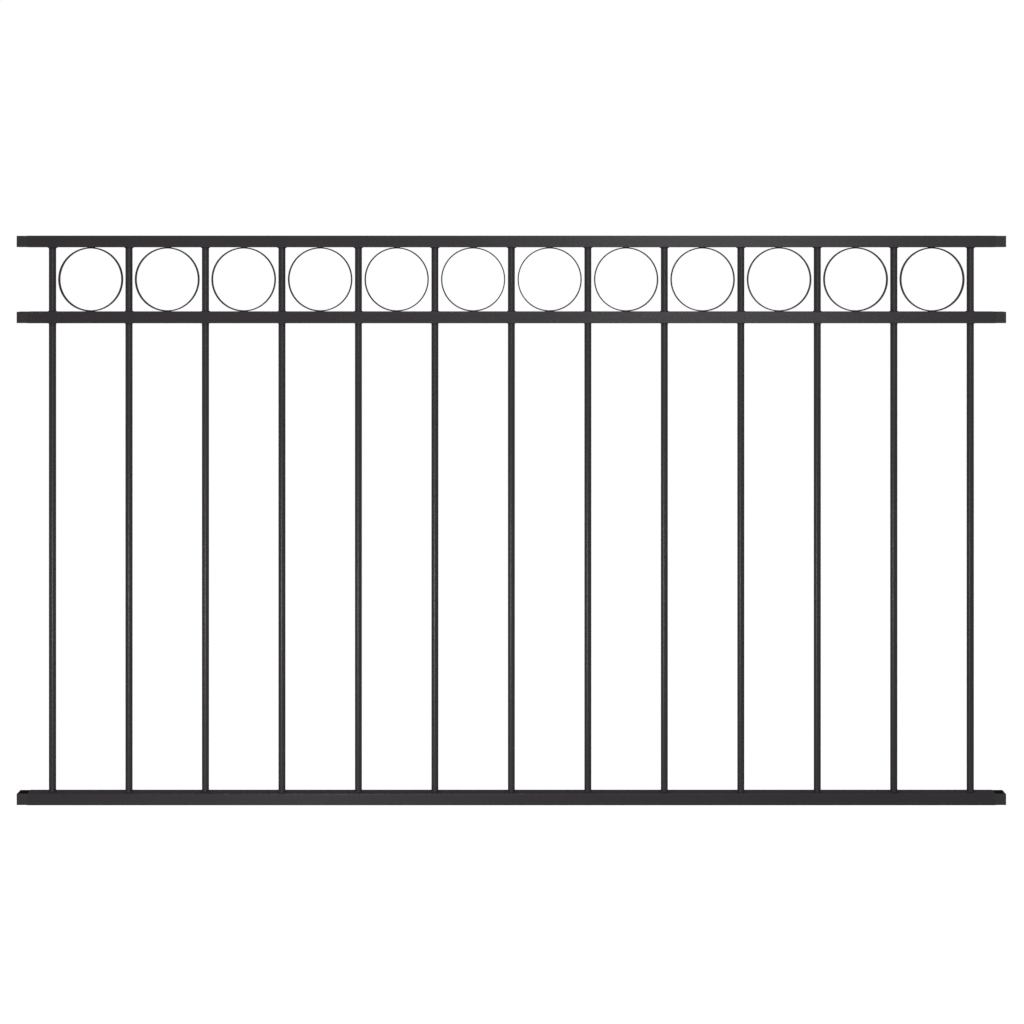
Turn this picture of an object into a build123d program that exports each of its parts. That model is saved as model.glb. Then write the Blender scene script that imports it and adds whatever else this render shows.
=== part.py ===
from build123d import *
import os

# A powder-coated steel fence panel. Three square tubes run along it as rails, round tubes stand through
# them as bars, a ring of flat band sits in each bay between the two upper rails, and a moulded plug
# closes each end of each rail.
# Millimetres. X runs along the rails, Y from the panel's front to its back, Z up.
# The origin is the middle of the flat outer end of the bottom rail's left plug.

# Whole panel
PANEL_LENGTH = 1700.0    # from plug end to plug end
PANEL_HEIGHT = 978.7     # from under the bottom rail to the top of the top rail

# Rails
RAIL_SIZE = 20.0         # side of the square tube
RAIL_WALL = 1.2
RAIL_CORNER = 0.8        # radius of the tube's outer corners
LEAST_CORNER = 0.2       # radius of its inner corners where the wall takes up the outer radius

# Bars
BAR_COUNT = 13
BAR_DIAMETER = 12.0
BAR_WALL = 1.0
BAR_TIP = 4.0            # how far a bar's end stands inside the hollow of the top or bottom rail
BAR_HOLE_GAP = 0.25      # all round a bar, in the hole punched for it

# Rings
RING_SIDE_GAP = 4.7      # between a ring and the bar beside it
RING_SEAT_GAP = 0.1      # between a ring and the rail above or below it
RING_THICKNESS = 2.0
RING_BAND = 7.0          # width of the flat band, front to back

# Plugs
PLUG_LENGTH = 18.0       # the part of a plug that shows beyond the tube
PLUG_STEP = 0.3          # how far its sides lie below the sides of the tube
PLUG_EDGE = 0.6          # rounding around its outer end
POCKET_WALL = 1.6        # left around the pockets cored out of it from above and below
POCKET_WEB = 5.0         # left between those two pockets
SPIGOT_LENGTH = 24.0     # the part of a plug that is pushed into the tube
SPIGOT_WALL = 2.5        # around the hollow moulded into the spigot from its tip
SPIGOT_GAP = 0.15        # between the spigot and the inside of the tube
SPIGOT_TO_BAR = 10.75    # from the tip of the spigot to the nearest bar

# Places and sizes that follow from those above
tube_length = PANEL_LENGTH - 2 * PLUG_LENGTH
tube_hollow = RAIL_SIZE - 2 * RAIL_WALL
hollow_corner = max(RAIL_CORNER - RAIL_WALL, LEAST_CORNER)

first_bar_x = PLUG_LENGTH + SPIGOT_LENGTH + SPIGOT_TO_BAR + BAR_DIAMETER / 2
bar_pitch = (PANEL_LENGTH - 2 * first_bar_x) / (BAR_COUNT - 1)
bar_places = [first_bar_x + bar_pitch * index for index in range(BAR_COUNT)]
ring_places = [left_bar_x + bar_pitch / 2 for left_bar_x in bar_places[:-1]]

ring_outside = bar_pitch - BAR_DIAMETER - 2 * RING_SIDE_GAP
top_rail_z = PANEL_HEIGHT - RAIL_SIZE
ring_z = top_rail_z - RAIL_SIZE / 2 - RING_SEAT_GAP - ring_outside / 2
middle_rail_z = ring_z - ring_outside / 2 - RING_SEAT_GAP - RAIL_SIZE / 2
rail_heights = {"bottom": 0.0, "middle": middle_rail_z, "top": top_rail_z}

bar_foot_z = RAIL_SIZE / 2 - RAIL_WALL - BAR_TIP
bar_head_z = top_rail_z - RAIL_SIZE / 2 + RAIL_WALL + BAR_TIP


def across_rail(x, z):
    """The plane that cuts a rail square, at a place along it."""
    return Plane(origin=(x, 0, z), x_dir=(0, 1, 0), z_dir=(1, 0, 0))


def square_prism(side, corner, x, z, length):
    """A square bar with rounded corners that runs along X."""
    return extrude(across_rail(x, z) * RectangleRounded(side, side, corner), amount=length)


def upright(radius, x, foot, head):
    """A round bar that stands along Z."""
    return extrude(Plane(origin=(x, 0, foot)) * Circle(radius), amount=head - foot)


def make_rail(z):
    """A square tube with a hole punched for every bar in each wall that the bar passes."""
    rail = square_prism(RAIL_SIZE, RAIL_CORNER, PLUG_LENGTH, z, tube_length)
    rail -= square_prism(tube_hollow, hollow_corner, PLUG_LENGTH, z, tube_length)
    hole_radius = BAR_DIAMETER / 2 + BAR_HOLE_GAP
    hole_foot_z = bar_foot_z - BAR_HOLE_GAP
    hole_head_z = bar_head_z + BAR_HOLE_GAP
    return rail - [upright(hole_radius, x, hole_foot_z, hole_head_z) for x in bar_places]


def make_bar(x):
    """A round tube from inside the bottom rail, through the middle rail, to inside the top rail."""
    bar = upright(BAR_DIAMETER / 2, x, bar_foot_z, bar_head_z)
    return bar - upright(BAR_DIAMETER / 2 - BAR_WALL, x, bar_foot_z, bar_head_z)


def make_ring(x):
    """A flat band rolled into a circle that faces the front, between the two upper rails."""
    facing = Plane(origin=(x, 0, ring_z), x_dir=(1, 0, 0), z_dir=(0, -1, 0))
    band = Circle(ring_outside / 2) - Circle(ring_outside / 2 - RING_THICKNESS)
    return extrude(facing * band, amount=RING_BAND / 2, both=True)


def make_plug(z):
    """The left plug of a rail: a block that shows, cored out from above and below, and a hollow spigot."""
    block_side = RAIL_SIZE - 2 * PLUG_STEP
    block = square_prism(block_side, RAIL_CORNER, 0, z, PLUG_LENGTH)
    outer_end = block.faces().sort_by(Axis.X)[0]
    block = fillet(outer_end.edges(), PLUG_EDGE)
    pocket_width = block_side - 2 * POCKET_WALL
    pockets = Rectangle(pocket_width, block_side) - Rectangle(pocket_width, POCKET_WEB)
    block -= extrude(across_rail(POCKET_WALL, z) * pockets, amount=PLUG_LENGTH - POCKET_WALL)
    spigot_side = tube_hollow - 2 * SPIGOT_GAP
    spigot = square_prism(spigot_side, hollow_corner, PLUG_LENGTH, z, SPIGOT_LENGTH)
    hollow_side = spigot_side - 2 * SPIGOT_WALL
    hollow_start = PLUG_LENGTH + SPIGOT_WALL
    spigot -= square_prism(hollow_side, LEAST_CORNER, hollow_start, z, SPIGOT_LENGTH - SPIGOT_WALL)
    return block + spigot


panel_middle = Plane.YZ.offset(PANEL_LENGTH / 2)
nodes = {}
for rail_name, rail_z in rail_heights.items():
    nodes[f"{rail_name}_rail"] = make_rail(rail_z)
    left_plug = make_plug(rail_z)
    nodes[f"left_{rail_name}_plug"] = left_plug
    nodes[f"right_{rail_name}_plug"] = mirror(left_plug, about=panel_middle)
for number, bar_x in enumerate(bar_places, start=1):
    nodes[f"bar_{number:02d}"] = make_bar(bar_x)
for number, ring_x in enumerate(ring_places, start=1):
    nodes[f"ring_{number:02d}"] = make_ring(ring_x)

os.makedirs("parts", exist_ok=True)
for node_name, solid in nodes.items():
    export_step(solid, f"parts/{node_name}.step")
print(f"{len(nodes)} nodes, bar pitch {bar_pitch:.2f}, ring {ring_outside:.2f} across")
print(f"middle rail at {middle_rail_z:.2f}, top rail at {top_rail_z:.2f}, rings at {ring_z:.2f}")
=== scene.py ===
# %% [markdown]
# # A powder-coated steel fence panel
# The panel is three square tubes for rails, thirteen round tubes that stand through them as bars, twelve
# rings of flat band, and six moulded plugs in the rails' ends. The CAD model holds each of them at its real
# size. It is loaded first, as a frame that never moves, and every piece made here takes its place from it.

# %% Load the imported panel
import math

import bmesh
import bpy
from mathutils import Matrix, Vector


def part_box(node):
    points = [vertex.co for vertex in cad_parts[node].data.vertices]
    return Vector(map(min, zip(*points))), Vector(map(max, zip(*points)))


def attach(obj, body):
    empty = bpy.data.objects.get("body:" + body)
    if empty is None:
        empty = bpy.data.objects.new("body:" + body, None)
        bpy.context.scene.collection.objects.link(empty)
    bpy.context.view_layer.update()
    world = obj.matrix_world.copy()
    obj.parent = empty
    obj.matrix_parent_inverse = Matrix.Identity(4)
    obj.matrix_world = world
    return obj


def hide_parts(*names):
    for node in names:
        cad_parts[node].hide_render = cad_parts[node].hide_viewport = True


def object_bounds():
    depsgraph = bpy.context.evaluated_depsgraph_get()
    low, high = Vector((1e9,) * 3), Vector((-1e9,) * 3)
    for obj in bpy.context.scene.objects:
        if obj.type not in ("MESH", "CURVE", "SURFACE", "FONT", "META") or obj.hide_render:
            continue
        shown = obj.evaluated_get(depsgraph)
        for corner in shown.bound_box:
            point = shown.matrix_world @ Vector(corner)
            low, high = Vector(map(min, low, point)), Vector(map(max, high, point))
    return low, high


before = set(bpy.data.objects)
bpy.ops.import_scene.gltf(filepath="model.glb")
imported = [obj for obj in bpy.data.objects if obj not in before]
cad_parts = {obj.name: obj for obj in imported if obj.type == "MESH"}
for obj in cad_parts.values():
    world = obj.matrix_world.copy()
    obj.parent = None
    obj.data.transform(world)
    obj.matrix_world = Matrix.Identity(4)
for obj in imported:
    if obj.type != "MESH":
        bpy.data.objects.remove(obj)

cad_low, cad_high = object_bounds()
print("CAD box in metres:", [round(value, 4) for value in (*cad_low, *cad_high)])

# %% [markdown]
# ## Places and sizes
# A welder needs few numbers to lay out such a panel: where the first bar stands, how far apart the bars are,
# and where the rails' faces lie. They could be typed in again, but then a change to the CAD would leave the
# welds hanging in the air. So they are read from the boxes of the CAD nodes.

# %% Read places and sizes from the frame
MM = 0.001
BODY = "root"

rail_nodes = sorted(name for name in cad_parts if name.endswith("_rail"))
plug_nodes = sorted(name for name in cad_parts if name.endswith("_plug"))
bar_nodes = sorted(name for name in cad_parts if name.startswith("bar_"))
ring_nodes = sorted(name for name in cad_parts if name.startswith("ring_"))


def middle_of(node):
    """The middle of a CAD node's box."""
    low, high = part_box(node)
    return (low + high) / 2


def size_of(node):
    """How far a CAD node reaches along X, Y and Z."""
    low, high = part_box(node)
    return high - low


bar_count = len(bar_nodes)
first_bar_x = middle_of(bar_nodes[0]).x
bar_pitch = (middle_of(bar_nodes[-1]).x - first_bar_x) / (bar_count - 1)
bar_radius = size_of(bar_nodes[0]).x / 2

ring_count = len(ring_nodes)
first_ring = middle_of(ring_nodes[0])
ring_radius = size_of(ring_nodes[0]).x / 2
ring_depth = size_of(ring_nodes[0]).y

bottom_rail_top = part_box("bottom_rail")[1].z
middle_rail_under, middle_rail_top = (corner.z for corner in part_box("middle_rail"))
top_rail_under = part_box("top_rail")[0].z

print(f"{bar_count} bars of radius {bar_radius / MM:.2f} mm, {bar_pitch / MM:.2f} mm apart")
print(f"{ring_count} rings, {2 * ring_radius / MM:.2f} mm across, {ring_depth / MM:.2f} mm deep")

# %% [markdown]
# ## A helper for nodes
# Both the finishes and the repeated pieces are node trees. Wiring nodes one call at a time makes long code,
# so one helper adds a node, sets its options, and fills its inputs. An input that is given a socket is
# linked to it, and any other value is set on the input itself.

# %% Add a node to a tree
NODE_STEP = 220          # how far apart nodes are drawn in Blender's node editor


def add_node(tree, kind, inputs=None, **options):
    """Add one node, and link or set the inputs that are given by name or number."""
    node = tree.nodes.new(kind)
    node.location = (NODE_STEP * len(tree.nodes), 0)
    for option, value in options.items():
        setattr(node, option, value)
    for socket, value in (inputs or {}).items():
        if isinstance(value, bpy.types.NodeSocket):
            tree.links.new(value, node.inputs[socket])
        else:
            node.inputs[socket].default_value = value
    return node


def add_sum(tree, operation, *values):
    """Add one Math node, and give the number that it works out."""
    return add_node(tree, "ShaderNodeMath", dict(enumerate(values)), operation=operation).outputs[0]


print("helpers for nodes are ready")

# %% [markdown]
# ## The skin that every finish shares
# Powder coat is sprayed on dry and melted in an oven. It flows a little before it sets, which leaves a faint
# dimpled skin, called orange peel, with waves of one or two millimetres. Its tone also drifts slightly along
# a long tube. Moulded plastic has a finer version of the same two effects, so they are one shader group with
# sizes as inputs. It reads Object coordinates in metres, so the pattern keeps its real size on every piece.

# %% Build the shared skin group
GRAIN_SHARE = 0.35       # size of the fine grain, as a share of the dimples
TONE_DETAIL = 3.0
TONE_RANGE = (0.3, 0.7)  # the noise seldom leaves this range, so it is stretched to run from 0 to 1
PEEL_DETAIL = 1.5


def make_skin_group():
    """A group that puts out a slow tone, a dimpled height and a fine grain, each about from 0 to 1."""
    tree = bpy.data.node_groups.new("coat_skin", "ShaderNodeTree")
    for name in ("Tone Size", "Peel Size"):
        tree.interface.new_socket(name, in_out="INPUT", socket_type="NodeSocketFloat")
    for name in ("Tone", "Peel", "Grain"):
        tree.interface.new_socket(name, in_out="OUTPUT", socket_type="NodeSocketFloat")
    sizes = add_node(tree, "NodeGroupInput").outputs
    place = add_node(tree, "ShaderNodeTexCoord").outputs["Object"]

    def noise_of(size, detail):
        inputs = {"Vector": place, "Scale": add_sum(tree, "DIVIDE", 1.0, size), "Detail": detail}
        return add_node(tree, "ShaderNodeTexNoise", inputs).outputs["Fac"]

    tone = noise_of(sizes["Tone Size"], TONE_DETAIL)
    low, high = TONE_RANGE
    tone_inputs = {"Value": tone, "From Min": low, "From Max": high}
    tone = add_node(tree, "ShaderNodeMapRange", tone_inputs).outputs[0]
    peel = noise_of(sizes["Peel Size"], PEEL_DETAIL)
    grain = noise_of(add_sum(tree, "MULTIPLY", sizes["Peel Size"], GRAIN_SHARE), PEEL_DETAIL)
    add_node(tree, "NodeGroupOutput", {"Tone": tone, "Peel": peel, "Grain": grain})
    return tree


coat_skin = make_skin_group()
print("shared skin group:", [item.name for item in coat_skin.interface.items_tree])

# %% [markdown]
# ## The finishes
# The steel wears one black powder coat, a charcoal with a satin sheen. Face on, it mirrors a lamp as a soft
# stripe down each bar. Along the surface its dimples hide each other and break that sheen up, so the flanks
# of a bar look matt. A Layer Weight node tells how far the surface turns away, and moves the roughness up.
# The plugs are moulded in a deeper black with a little more gloss: their flat front looks about as light as
# the coat, because it mirrors the room, while the pockets cored into them stay black. A weld is coated like
# the rest, but the powder lies wavier on it. All three are one recipe with its own values: the tone mixes two
# near colours, the grain moves the roughness, and the dimples feed a Bump node. What is the same all over is
# set on the shader itself.

# %% Make the three finishes
COAT_DEEP = (0.0165, 0.0130, 0.0165, 1.0)
COAT_LIFT = (0.0200, 0.0165, 0.0200, 1.0)
PLUG_DEEP = (0.0095, 0.0062, 0.0095, 1.0)
PLUG_LIFT = (0.0125, 0.0092, 0.0125, 1.0)
PLAIN_BLEND = 0.5        # with this, Layer Weight's Facing is one minus the cosine of the angle
SATIN_UP_TO = 0.1        # how far a surface turns away, from 0 to 1, before its sheen starts to break up
MATT_FROM = 0.5          # and from where on it looks fully matt
MATT_ROUGHNESS = 0.92


def make_finish(name, colours, tone_size, peel_size, peel_height, roughness, gloss):
    """A black finish whose tone, roughness and dimples all come from the shared skin."""
    material = bpy.data.materials.new(name)
    material.use_nodes = True
    tree = material.node_tree
    shader = tree.nodes["Principled BSDF"]
    shader.inputs["Specular IOR Level"].default_value = gloss
    sizes = {"Tone Size": tone_size, "Peel Size": peel_size}
    skin = add_node(tree, "ShaderNodeGroup", sizes, node_tree=coat_skin).outputs
    deep, lift = colours
    mix = add_node(tree, "ShaderNodeMix", {0: skin["Tone"], 6: deep, 7: lift}, data_type="RGBA")
    smooth, dull = roughness
    satin_inputs = {"Value": skin["Grain"], "To Min": smooth, "To Max": dull}
    satin = add_node(tree, "ShaderNodeMapRange", satin_inputs).outputs[0]
    turned = add_node(tree, "ShaderNodeLayerWeight", {"Blend": PLAIN_BLEND}).outputs["Facing"]
    glance_inputs = {"Value": turned, "From Min": SATIN_UP_TO, "From Max": MATT_FROM}
    glance = add_node(tree, "ShaderNodeMapRange", glance_inputs, interpolation_type="SMOOTHSTEP").outputs[0]
    sheen = add_node(tree, "ShaderNodeMix", {0: glance, 2: satin, 3: MATT_ROUGHNESS}, data_type="FLOAT")
    bump = add_node(tree, "ShaderNodeBump", {"Height": skin["Peel"], "Distance": peel_height})
    tree.links.new(mix.outputs[2], shader.inputs["Base Color"])
    tree.links.new(sheen.outputs[0], shader.inputs["Roughness"])
    tree.links.new(bump.outputs[0], shader.inputs["Normal"])
    print(f"{name}: tone {tone_size / MM:.0f} mm, dimples {peel_size / MM:.1f} mm")
    return material


black_coat = make_finish("black_powder_coat", (COAT_DEEP, COAT_LIFT), tone_size=140 * MM,
                         peel_size=1.8 * MM, peel_height=0.03 * MM, roughness=(0.29, 0.37), gloss=0.2)
weld_coat = make_finish("coated_weld", (COAT_DEEP, COAT_LIFT), tone_size=6 * MM,
                        peel_size=1.2 * MM, peel_height=0.08 * MM, roughness=(0.42, 0.52), gloss=0.2)
plug_black = make_finish("moulded_plug", (PLUG_DEEP, PLUG_LIFT), tone_size=12 * MM,
                         peel_size=0.5 * MM, peel_height=0.02 * MM, roughness=(0.36, 0.46), gloss=0.3)

# %% [markdown]
# ## Rails, bars and plugs
# These keep their CAD meshes, because a drawn tube with rounded corners is already the real shape. Only
# their finish changes: each CAD object's material slots are filled with the coat or the plug's plastic.

# %% Put the finishes on the CAD nodes


def dress(node, material):
    """Fill a CAD node's material slots with one finish."""
    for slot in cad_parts[node].material_slots:
        slot.material = material


for node in rail_nodes + bar_nodes:
    dress(node, black_coat)
for node in plug_nodes:
    dress(node, plug_black)
print(f"coated {len(rail_nodes)} rails and {len(bar_nodes)} bars, and dressed {len(plug_nodes)} plugs")

# %% [markdown]
# ## Growing a piece from a tree
# Geometry Nodes suit what repeats. A tree is built here with named inputs for its sizes, run once on an empty
# mesh, and its result is kept as a plain mesh, because the export drops instances. The inputs are set by
# their identifiers before the first evaluation. Where the rounded corners of a swept profile meet, two points
# share one place and leave faces with no area, so such points are merged. A swept shape can also come out
# inside out, so its faces are turned outwards. Then the piece is made to ride on the panel, and the tree has
# already given it its finish.

# %% Build a tree and run it
POINT_SOCKET = "NodeSocketVector"
SIZE_SOCKET = "NodeSocketFloat"
COUNT_SOCKET = "NodeSocketInt"
FINISH_SOCKET = "NodeSocketMaterial"
SAME_PLACE = 0.001 * MM  # points nearer to each other than this are one point


def start_tree(name, inputs):
    """A new Geometry Nodes tree with its named inputs, and the sockets that give them."""
    tree = bpy.data.node_groups.new(name, "GeometryNodeTree")
    tree.is_modifier = True
    for label, kind in inputs.items():
        tree.interface.new_socket(label, in_out="INPUT", socket_type=kind)
    tree.interface.new_socket("Geometry", in_out="OUTPUT", socket_type="NodeSocketGeometry")
    return tree, add_node(tree, "NodeGroupInput").outputs


def add_row(tree, sizes):
    """The points of a straight row, from the tree's Count, First and Step."""
    inputs = {"Count": sizes["Count"], "Start Location": sizes["First"], "Offset": sizes["Step"]}
    return add_node(tree, "GeometryNodeMeshLine", inputs).outputs[0]


def end_tree(tree, shapes, finish):
    """Realize the instances, shade them smooth, give them a finish, and put them out."""
    solid = add_node(tree, "GeometryNodeRealizeInstances", {0: shapes}).outputs[0]
    smooth = add_node(tree, "GeometryNodeSetShadeSmooth", {"Geometry": solid}).outputs[0]
    coated = add_node(tree, "GeometryNodeSetMaterial", {"Geometry": smooth, "Material": finish}).outputs[0]
    add_node(tree, "NodeGroupOutput", {"Geometry": coated})


def clean_shell(mesh):
    """Merge points that share a place, and turn every face of a closed mesh away from its inside."""
    shell = bmesh.new()
    shell.from_mesh(mesh)
    bmesh.ops.remove_doubles(shell, verts=shell.verts, dist=SAME_PLACE)
    bmesh.ops.recalc_face_normals(shell, faces=shell.faces)
    shell.to_mesh(mesh)
    shell.free()


def grow_piece(name, tree, values):
    """Run a tree once and keep its result as a plain mesh that rides on the panel."""
    source = bpy.data.objects.new(name + "_source", bpy.data.meshes.new(name + "_source"))
    bpy.context.scene.collection.objects.link(source)
    modifier = source.modifiers.new("grow", "NODES")
    modifier.node_group = tree
    for item in tree.interface.items_tree:
        if item.in_out == "INPUT":
            modifier[item.identifier] = values[item.name]
    depsgraph = bpy.context.evaluated_depsgraph_get()
    mesh = bpy.data.meshes.new_from_object(source.evaluated_get(depsgraph))
    bpy.data.objects.remove(source)
    mesh.name = name
    clean_shell(mesh)
    piece = bpy.data.objects.new(name, mesh)
    bpy.context.scene.collection.objects.link(piece)
    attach(piece, BODY)
    print(f"{name}: {len(mesh.vertices)} points, {len(mesh.polygons)} faces")
    return piece


# %% [markdown]
# ## Rings
# Each ring is a flat strip, rolled flatwise into a hoop and welded at its joint. The CAD ring has knife-sharp
# edges. A rolled strip has rounded ones, and they catch a thin line of light, so the rings are made again:
# a rounded rectangle is swept round a circle once, and the hoop is repeated in every bay.

# %% Grow the rings
RING_THICKNESS = 2.0 * MM  # as in the CAD model, whose boxes don't tell it
RING_EDGE = 0.3 * MM
RING_STEPS = 144
EDGE_STEPS = 3


def make_ring_tree():
    """A hoop of flat band, repeated along a line."""
    tree, sizes = start_tree("ring_row", {
        "Count": COUNT_SOCKET, "First": POINT_SOCKET, "Step": POINT_SOCKET, "Radius": SIZE_SOCKET,
        "Depth": SIZE_SOCKET, "Thickness": SIZE_SOCKET, "Edge": SIZE_SOCKET, "Finish": FINISH_SOCKET})
    half = add_sum(tree, "MULTIPLY", sizes["Thickness"], 0.5)
    path_inputs = {"Resolution": RING_STEPS, "Radius": add_sum(tree, "SUBTRACT", sizes["Radius"], half)}
    path = add_node(tree, "GeometryNodeCurvePrimitiveCircle", path_inputs).outputs[0]
    strip_inputs = {"Width": sizes["Thickness"], "Height": sizes["Depth"]}
    strip = add_node(tree, "GeometryNodeCurvePrimitiveQuadrilateral", strip_inputs).outputs[0]
    edge_inputs = {"Curve": strip, "Count": EDGE_STEPS, "Radius": sizes["Edge"]}
    strip = add_node(tree, "GeometryNodeFilletCurve", edge_inputs, mode="POLY").outputs[0]
    hoop = add_node(tree, "GeometryNodeCurveToMesh", {"Curve": path, "Profile Curve": strip}).outputs[0]
    facing = {"Geometry": hoop, "Rotation": (math.pi / 2, 0, 0)}
    hoop = add_node(tree, "GeometryNodeTransform", facing).outputs[0]
    hoop_inputs = {"Points": add_row(tree, sizes), "Instance": hoop}
    hoops = add_node(tree, "GeometryNodeInstanceOnPoints", hoop_inputs).outputs[0]
    end_tree(tree, hoops, sizes["Finish"])
    return tree


rings = grow_piece("ring_bands", make_ring_tree(), {
    "Count": ring_count, "First": first_ring, "Step": (bar_pitch, 0, 0), "Radius": ring_radius,
    "Depth": ring_depth, "Thickness": RING_THICKNESS, "Edge": RING_EDGE, "Finish": black_coat})
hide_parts(*ring_nodes)

# %% [markdown]
# ## Weld collars
# Where a bar meets a rail, a bead of weld runs round it and closes the gap in the punched hole. Such a bead
# is a hollow fillet in section, fuller at the bar's left and right, where the rail leaves room for it, than
# at its front and back. It is rippled, because the weld pool freezes in small steps. A fillet is swept round
# each bar, and its size is moved by the side that it is on, a ripple and some noise. Every circle is turned
# by chance first, so that no two collars look the same. One tree serves all four rows of joints.

# %% Build the tree of weld collars
# A fillet's section, as shares of the bead's size. It starts a little inside the bar and the rail.
FILLET_CORNERS = {"Point 1": (-0.12, -0.12, 0), "Point 2": (1.0, -0.12, 0),
                  "Point 3": (0.34, 0.34, 0), "Point 4": (-0.12, 1.0, 0)}
FILLET_ROUNDING = 0.5
FILLET_STEPS = 2
COLLAR_STEPS = 72
COLLAR_RIPPLES = 18
COLLAR_RIPPLE = 0.05     # height of a ripple, as a share of the bead
COLLAR_UNEVENNESS = 0.7  # how strongly the noise moves the bead's size
COLLAR_LUMP = 3.5 * MM   # size of the noise that makes a bead uneven
LUMP_DETAIL = 1.0
NOISE_MIDDLE = 0.5       # the value about which the noise varies
FRONT_SHARE = 0.62       # size of the bead at a bar's front and back, as a share of its size at the sides


def add_ripple(tree, ripples, height):
    """A wave about 1 along a swept path, with a whole number of ripples."""
    along = add_node(tree, "GeometryNodeSplineParameter").outputs["Factor"]
    wave = add_sum(tree, "SINE", add_sum(tree, "MULTIPLY", along, 2 * math.pi * ripples))
    return add_sum(tree, "MULTIPLY_ADD", wave, height, 1.0)


def make_collar_tree():
    """A row of weld beads, each swept round a bar on one side of a rail."""
    tree, sizes = start_tree("collar_row", {
        "Count": COUNT_SOCKET, "First": POINT_SOCKET, "Step": POINT_SOCKET, "Bar Radius": SIZE_SOCKET,
        "Bead Size": POINT_SOCKET, "Seed": COUNT_SOCKET, "Finish": FINISH_SOCKET})
    path_inputs = {"Resolution": COLLAR_STEPS, "Radius": sizes["Bar Radius"]}
    path = add_node(tree, "GeometryNodeCurvePrimitiveCircle", path_inputs).outputs[0]
    turn_inputs = {0: (0, 0, 0), 1: (0, 0, 2 * math.pi), "Seed": sizes["Seed"]}
    turn = add_node(tree, "FunctionNodeRandomValue", turn_inputs, data_type="FLOAT_VECTOR").outputs[0]
    path_inputs = {"Points": add_row(tree, sizes), "Instance": path, "Rotation": turn}
    paths = add_node(tree, "GeometryNodeInstanceOnPoints", path_inputs).outputs[0]
    paths = add_node(tree, "GeometryNodeRealizeInstances", {0: paths}).outputs[0]

    fillet = add_node(tree, "GeometryNodeCurvePrimitiveQuadrilateral", mode="POINTS")
    for label, corner in FILLET_CORNERS.items():
        fillet.inputs[label].default_value = corner
    rounding = {"Curve": fillet.outputs[0], "Count": FILLET_STEPS, "Radius": FILLET_ROUNDING,
                "Limit Radius": True}
    fillet = add_node(tree, "GeometryNodeFilletCurve", rounding, mode="POLY").outputs[0]
    real_size = {"Geometry": fillet, "Scale": sizes["Bead Size"]}
    fillet = add_node(tree, "GeometryNodeTransform", real_size).outputs[0]

    along = add_node(tree, "GeometryNodeInputTangent").outputs[0]
    along_y = add_node(tree, "ShaderNodeSeparateXYZ", {0: along}).outputs["Y"]
    at_side = add_sum(tree, "ABSOLUTE", along_y)
    fullness = add_sum(tree, "MULTIPLY_ADD", at_side, 1.0 - FRONT_SHARE, FRONT_SHARE)
    fullness = add_sum(tree, "MULTIPLY", fullness, add_ripple(tree, COLLAR_RIPPLES, COLLAR_RIPPLE))
    place = add_node(tree, "GeometryNodeInputPosition").outputs[0]
    lump_inputs = {"Vector": place, "Scale": 1 / COLLAR_LUMP, "Detail": LUMP_DETAIL}
    lumps = add_node(tree, "ShaderNodeTexNoise", lump_inputs).outputs["Fac"]
    lumps = add_sum(tree, "SUBTRACT", lumps, NOISE_MIDDLE)
    lumps = add_sum(tree, "MULTIPLY", lumps, COLLAR_UNEVENNESS)
    sweep_inputs = {"Curve": paths, "Profile Curve": fillet, "Scale": add_sum(tree, "ADD", fullness, lumps)}
    collars = add_node(tree, "GeometryNodeCurveToMesh", sweep_inputs).outputs[0]
    end_tree(tree, collars, sizes["Finish"])
    return tree


collar_tree = make_collar_tree()
print("collar tree:", [item.name for item in collar_tree.interface.items_tree])

# %% [markdown]
# The four rows differ in their place, their size and the side of the rail that they sit on. The joints at the
# top rail carry the fullest beads, and those at the bottom rail, which are looked down on, the neatest. When
# Blender sweeps a profile round a circle that lies flat, the profile's Y points down, so a bead that rises
# from a rail has a negative height.

# %% Grow the four rows of collars
UPWARD, DOWNWARD = -1, 1

# For each row: the height of the rail's face, the way a bead points, its reach along the rail, and its rise.
collar_rows = {
    "top_rail_collars": (top_rail_under, DOWNWARD, 4.6 * MM, 3.0 * MM),
    "middle_rail_upper_collars": (middle_rail_top, UPWARD, 3.8 * MM, 2.4 * MM),
    "middle_rail_lower_collars": (middle_rail_under, DOWNWARD, 3.0 * MM, 2.0 * MM),
    "bottom_rail_collars": (bottom_rail_top, UPWARD, 1.5 * MM, 1.1 * MM)}

for seed, (name, (height, way, reach, rise)) in enumerate(collar_rows.items(), start=1):
    grow_piece(name, collar_tree, {
        "Count": bar_count, "First": (first_bar_x, 0, height), "Step": (bar_pitch, 0, 0),
        "Bar Radius": bar_radius, "Bead Size": (reach, way * rise, 1.0), "Seed": seed, "Finish": weld_coat})

# %% [markdown]
# ## Ring tacks
# A ring touches its rails at two points only, so each contact is held by a short tack of weld. It lies along
# the band's back edge, where it can't be seen from the front. A tack starts thin, swells and ends thin, so a
# small circle is swept along a short line and scaled by half a sine wave, with a few ripples on it.

# %% Grow the ring tacks
TACK_LENGTH = 12.0 * MM
TACK_RADIUS = 1.4 * MM
TACK_STEPS = 28
TACK_SIDES = 10
TACK_RIPPLES = 6
TACK_RIPPLE = 0.06
TACK_END = 0.25          # size of a tack's ends, as a share of its middle
TACK_SPREAD = 0.2        # how far the lengths of tacks differ from each other


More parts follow.
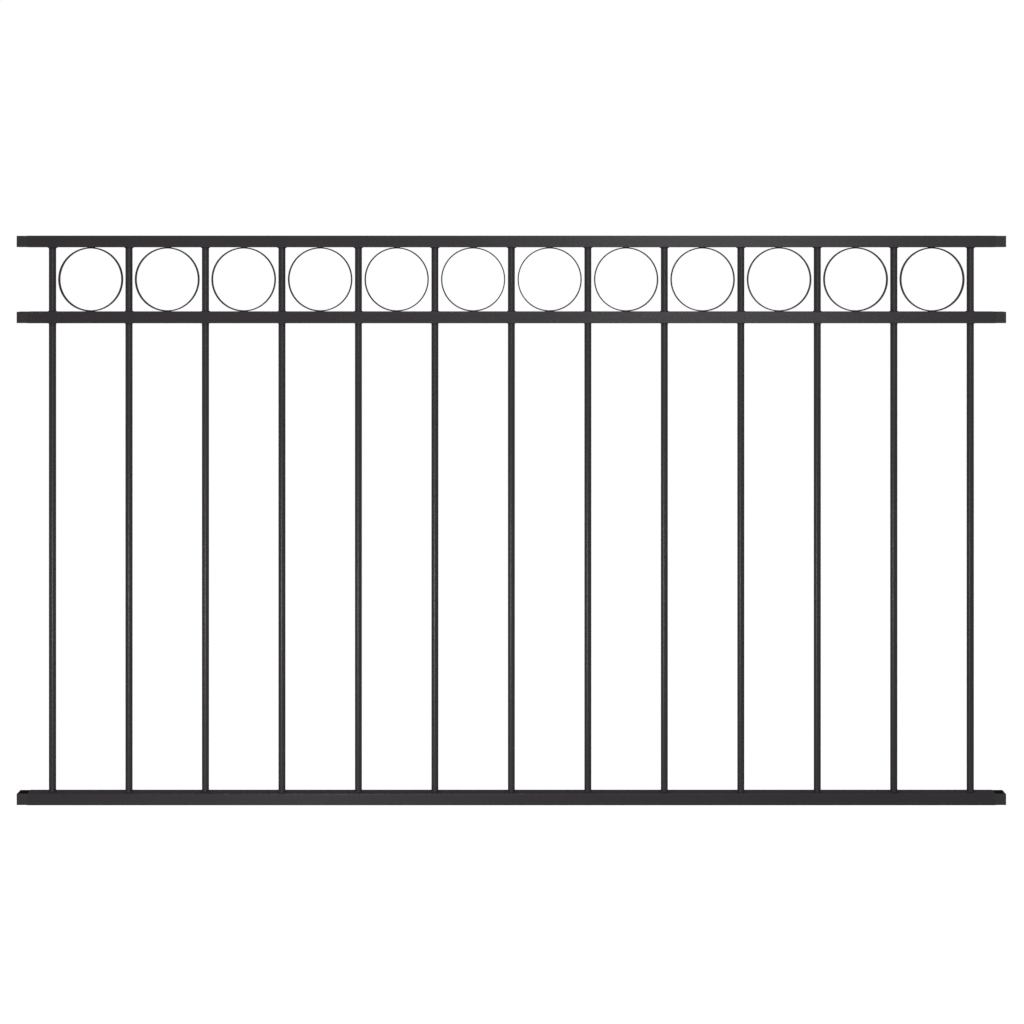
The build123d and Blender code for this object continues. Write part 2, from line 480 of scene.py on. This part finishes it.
def make_tack_tree():
    """A row of short weld beads that lie along X, thin at both ends."""
    tree, sizes = start_tree("tack_row", {
        "Count": COUNT_SOCKET, "First": POINT_SOCKET, "Step": POINT_SOCKET, "Length": SIZE_SOCKET,
        "Radius": SIZE_SOCKET, "Seed": COUNT_SOCKET, "Finish": FINISH_SOCKET})
    half = add_sum(tree, "MULTIPLY", sizes["Length"], 0.5)
    ends = [add_node(tree, "ShaderNodeCombineXYZ", {"X": x}).outputs[0]
            for x in (add_sum(tree, "MULTIPLY", half, -1.0), half)]
    line = add_node(tree, "GeometryNodeCurvePrimitiveLine", dict(zip(("Start", "End"), ends))).outputs[0]
    line = add_node(tree, "GeometryNodeResampleCurve", {"Curve": line, "Count": TACK_STEPS}).outputs[0]
    round_inputs = {"Resolution": TACK_SIDES, "Radius": sizes["Radius"]}
    section = add_node(tree, "GeometryNodeCurvePrimitiveCircle", round_inputs).outputs[0]
    along = add_node(tree, "GeometryNodeSplineParameter").outputs["Factor"]
    swell = add_sum(tree, "SINE", add_sum(tree, "MULTIPLY", along, math.pi))
    swell = add_sum(tree, "MULTIPLY_ADD", swell, 1.0 - TACK_END, TACK_END)
    swell = add_sum(tree, "MULTIPLY", swell, add_ripple(tree, TACK_RIPPLES, TACK_RIPPLE))
    tack_inputs = {"Curve": line, "Profile Curve": section, "Scale": swell, "Fill Caps": True}
    tack = add_node(tree, "GeometryNodeCurveToMesh", tack_inputs).outputs[0]
    spread_inputs = {0: (1.0 - TACK_SPREAD, 1, 1), 1: (1.0 + TACK_SPREAD, 1, 1), "Seed": sizes["Seed"]}
    spread = add_node(tree, "FunctionNodeRandomValue", spread_inputs, data_type="FLOAT_VECTOR").outputs[0]
    row_inputs = {"Points": add_row(tree, sizes), "Instance": tack, "Scale": spread}
    tacks = add_node(tree, "GeometryNodeInstanceOnPoints", row_inputs).outputs[0]
    end_tree(tree, tacks, sizes["Finish"])
    return tree


tack_tree = make_tack_tree()
band_back = first_ring.y + ring_depth / 2
tack_rows = {"upper_ring_tacks": top_rail_under, "lower_ring_tacks": middle_rail_top}

for seed, (name, height) in enumerate(tack_rows.items(), start=1):
    grow_piece(name, tack_tree, {
        "Count": ring_count, "First": (first_ring.x, band_back, height), "Step": (bar_pitch, 0, 0),
        "Length": TACK_LENGTH, "Radius": TACK_RADIUS, "Seed": seed, "Finish": weld_coat})

# %% [markdown]
# ## Floor and background
# The panel hangs just above a pale floor, as it does between its posts. The floor and the world are both
# white to the camera and in reflections, and the floor keeps the panel's soft shadow. A floor bright enough
# to look white by lamps alone would throw too much light up at the panel, so it is a dull grey that glows
# only for rays that see it directly, which the Light Path node tells apart.

# %% Lay the floor
FLOOR_DROP = 140 * MM    # from the panel's lowest point to the floor
FLOOR_REACH = 4.0        # from the middle of the panel to the edges of the floor
FLOOR_GREY = 0.3
FLOOR_GLOW = 0.93


def seen_directly(tree):
    """A value of 1 for what the camera, a reflection or a see-through ray meets, and 0 for soft light."""
    path = add_node(tree, "ShaderNodeLightPath").outputs
    seen = add_sum(tree, "MAXIMUM", path["Is Camera Ray"], path["Is Glossy Ray"])
    return add_sum(tree, "MAXIMUM", seen, path["Is Transmission Ray"])


def make_floor_finish():
    """A pale matt floor that glows a little for the camera, so that it runs into the white behind it."""
    material = bpy.data.materials.new("pale_floor")
    material.use_nodes = True
    tree = material.node_tree
    shader = tree.nodes["Principled BSDF"]
    shader.inputs["Base Color"].default_value = (FLOOR_GREY, FLOOR_GREY, FLOOR_GREY, 1.0)
    shader.inputs["Roughness"].default_value = 1.0
    shader.inputs["Specular IOR Level"].default_value = 0.0
    shader.inputs["Emission Color"].default_value = (1.0, 1.0, 1.0, 1.0)
    glow = add_sum(tree, "MULTIPLY", seen_directly(tree), FLOOR_GLOW)
    tree.links.new(glow, shader.inputs["Emission Strength"])
    return material


panel_middle = (cad_low + cad_high) / 2
floor_z = cad_low.z - FLOOR_DROP
left, right = panel_middle.x - FLOOR_REACH, panel_middle.x + FLOOR_REACH
floor_mesh = bpy.data.meshes.new("floor")
floor_corners = [(left, -FLOOR_REACH, floor_z), (right, -FLOOR_REACH, floor_z),
                 (right, FLOOR_REACH, floor_z), (left, FLOOR_REACH, floor_z)]
floor_mesh.from_pydata(floor_corners, [], [(0, 1, 2, 3)])
floor_mesh.materials.append(make_floor_finish())
floor = bpy.data.objects.new("floor", floor_mesh)
bpy.context.scene.collection.objects.link(floor)
print(f"floor {FLOOR_DROP / MM:.0f} mm below the panel")

# %% [markdown]
# ## Light
# A panel like this is photographed in a white room. The room is the world: white where it is looked at, and
# dim as a source of light, so that the flanks of the bars stay dark. Four soft lamps do the rest. The main
# one hangs high in front, where neither the rails nor the bars mirror it. One at the right stands where its
# blurred reflection falls on the right half of the two upper rails, and makes them a little lighter there.
# A small one, low at the left, is mirrored as a stripe down the middle of each bar below the middle rail.
# The last lies low behind, under the rails' upper sides: it shows the back, and the front keeps its shade.
# A grid narrows its beam, so that it lights the panel and hardly reaches the floor.

# %% Light the panel
SKY_LEVEL = 0.2
GRID_BEAM = math.radians(60)

world = bpy.data.worlds.new("studio")
bpy.context.scene.world = world
world.use_nodes = True
sky = world.node_tree
background = sky.nodes["Background"]
background.inputs["Color"].default_value = (1.0, 1.0, 1.0, 1.0)
level_inputs = {"Value": seen_directly(sky), "To Min": SKY_LEVEL, "To Max": 1.0}
level = add_node(sky, "ShaderNodeMapRange", level_inputs)
sky.links.new(level.outputs[0], background.inputs["Strength"])


def add_softbox(name, place, target, size, radiance, beam=math.pi):
    """A rectangular soft lamp that faces a point. A beam of less than half a turn is a grid on it."""
    width, height = size
    lamp = bpy.data.lights.new(name, "AREA")
    lamp.shape = "RECTANGLE"
    lamp.size = width
    lamp.size_y = height
    lamp.energy = radiance * math.pi * width * height  # the power that gives the lamp's face this radiance
    lamp.spread = beam
    softbox = bpy.data.objects.new(name, lamp)
    bpy.context.scene.collection.objects.link(softbox)
    softbox.location = place
    facing = Vector(target) - Vector(place)
    softbox.rotation_euler = facing.to_track_quat("-Z", "Y").to_euler()
    softbox.visible_camera = False
    print(f"{name}: {width:.2f} by {height:.2f} m, {facing.length:.1f} m from what it faces")


lit_stretch = (panel_middle.x, 0, 0.33)      # the middle of the bars' lower stretch, which shows the stripe
below_middle_rail = (panel_middle.x, 0, 0.75)

softboxes = {
    "high_softbox": {
        "place": (0.85, -2.6, 3.0), "target": panel_middle, "size": (1.6, 1.2), "radiance": 13.0},
    "right_softbox": {
        "place": (1.68, -3.6, 0.9), "target": panel_middle, "size": (1.1, 0.6), "radiance": 9.0},
    "low_softbox": {
        "place": (0.37, -1.38, 0.02), "target": lit_stretch, "size": (0.24, 0.24), "radiance": 58.0},
    "back_softbox": {
        "place": (0.85, 1.9, -0.06), "target": below_middle_rail, "size": (2.0, 0.14), "radiance": 4.2,
        "beam": GRID_BEAM}}

for name, values in softboxes.items():
    add_softbox(name, **values)

# %% [markdown]
# ## Camera
# The photograph was taken square on, from just below the top rail: that rail shows a little of its underside
# and the bottom rail its upper side. Such a view needs no tilt. The camera looks straight along Y, and its
# lens is shifted down, as a product photographer does it, so that the bars stay upright in the picture. A
# tilted camera would show the same things, but with bars that lean towards each other.

# %% Set the camera
CAMERA_LENS = 50.0       # in millimetres, as Blender takes it
SENSOR_WIDTH = 36.0      # in millimetres too
CAMERA_PLACE = (0.850, -2.4525, 0.9268)
CAMERA_SHIFT = (0.0006, -0.2461)

camera_data = bpy.data.cameras.new("camera")
camera_data.lens = CAMERA_LENS
camera_data.sensor_width = SENSOR_WIDTH
camera_data.shift_x, camera_data.shift_y = CAMERA_SHIFT
camera = bpy.data.objects.new("camera", camera_data)
bpy.context.scene.collection.objects.link(camera)
camera.location = CAMERA_PLACE
camera.rotation_euler = (math.pi / 2, 0, 0)
bpy.context.scene.camera = camera
bpy.context.scene.view_settings.view_transform = "Standard"
print(f"camera {-CAMERA_PLACE[1]:.2f} m in front of the panel, {CAMERA_PLACE[2]:.2f} m up")
